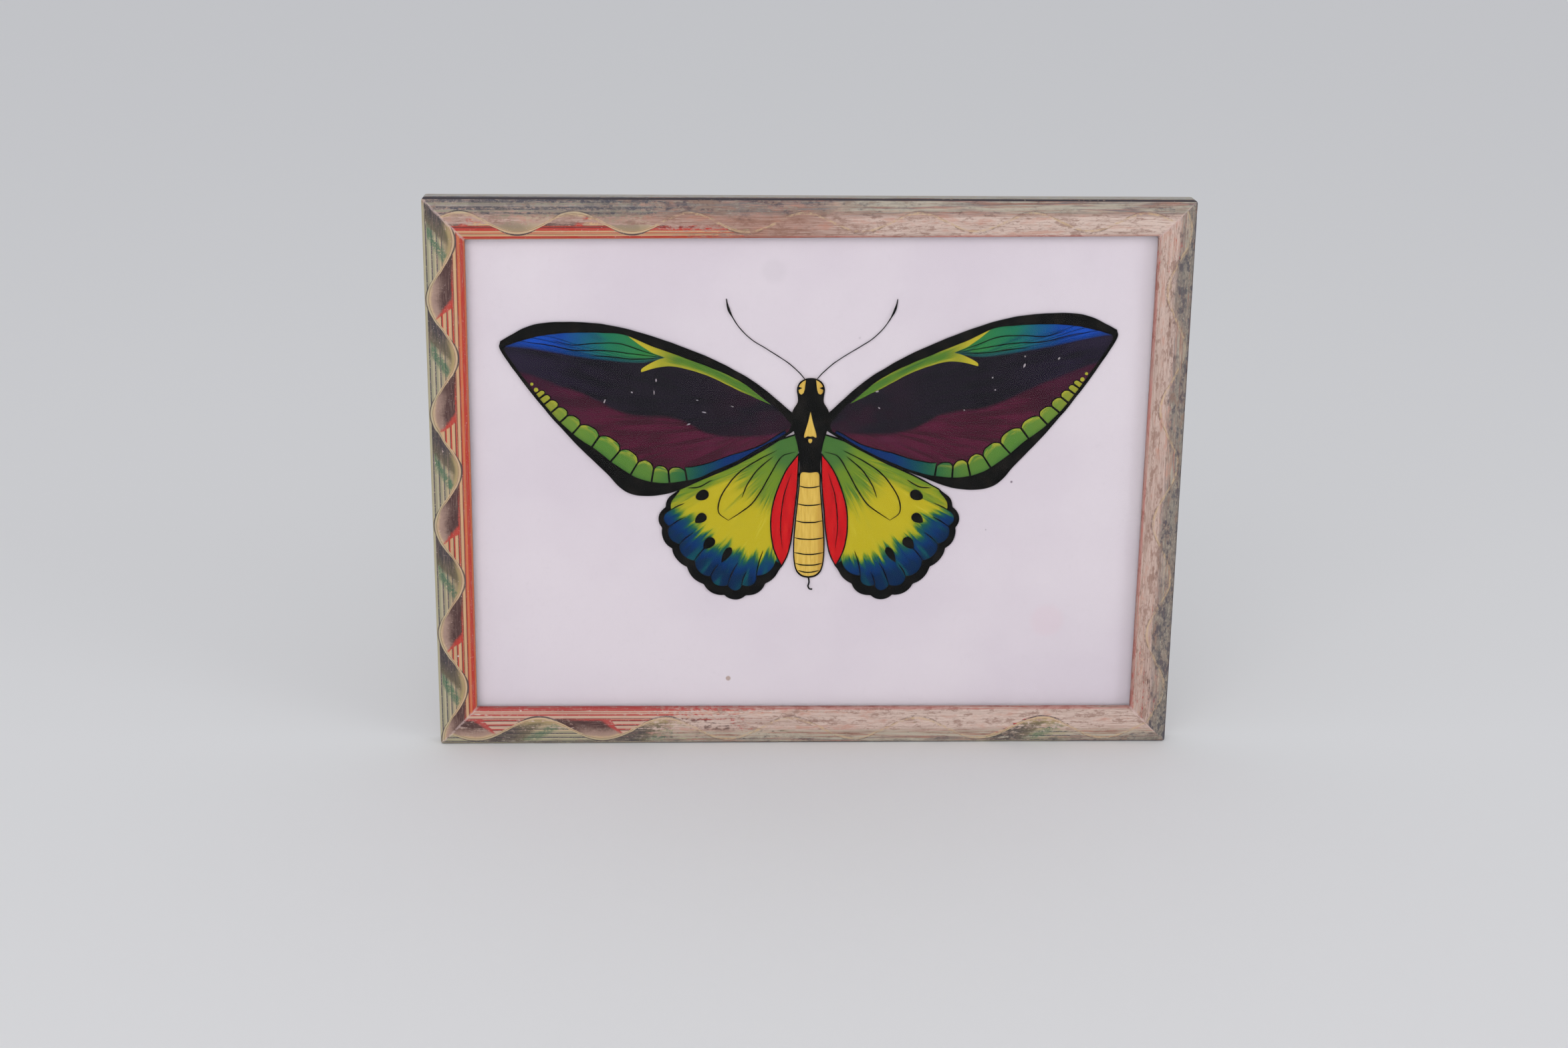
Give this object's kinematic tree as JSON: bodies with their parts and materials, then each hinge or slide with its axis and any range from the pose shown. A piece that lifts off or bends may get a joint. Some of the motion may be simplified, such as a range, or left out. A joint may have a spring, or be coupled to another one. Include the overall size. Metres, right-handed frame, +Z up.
{
  "type": "framed reverse-glass butterfly picture",
  "caption": "Butterfly picture painted on the back of a glass pane over pale paper, in a mitred painted wooden frame that stands on its edge or hangs by its back.",
  "frame": {"origin": "middle of the frame's bottom edge, at half of its depth, on the surface that it stands on", "axes": "+Z up the picture, +X to the viewer's right, and the picture faces -Y"},
  "size_m": [0.36, 0.012, 0.271],
  "materials": {
    "painted_wood": "worn combed paint over wood",
    "glass": "clear",
    "pale_paper": "matte pale lilac",
    "brown_board": "raw",
    "steel": "dull wire",
    "picture_paint": "gloss enamel on glass"
  },
  "bodies": {
    "root": {"top_rail": "painted_wood", "bottom_rail": "painted_wood", "left_rail": "painted_wood", "right_rail": "painted_wood", "glass_pane": "glass", "backing_paper": "pale_paper", "backing_board": "brown_board", "brad_1": "steel", "brad_2": "steel", "brad_3": "steel", "brad_4": "steel", "brad_5": "steel", "brad_6": "steel", "brad_7": "steel", "brad_8": "steel"}
  },
  "joints": []
}
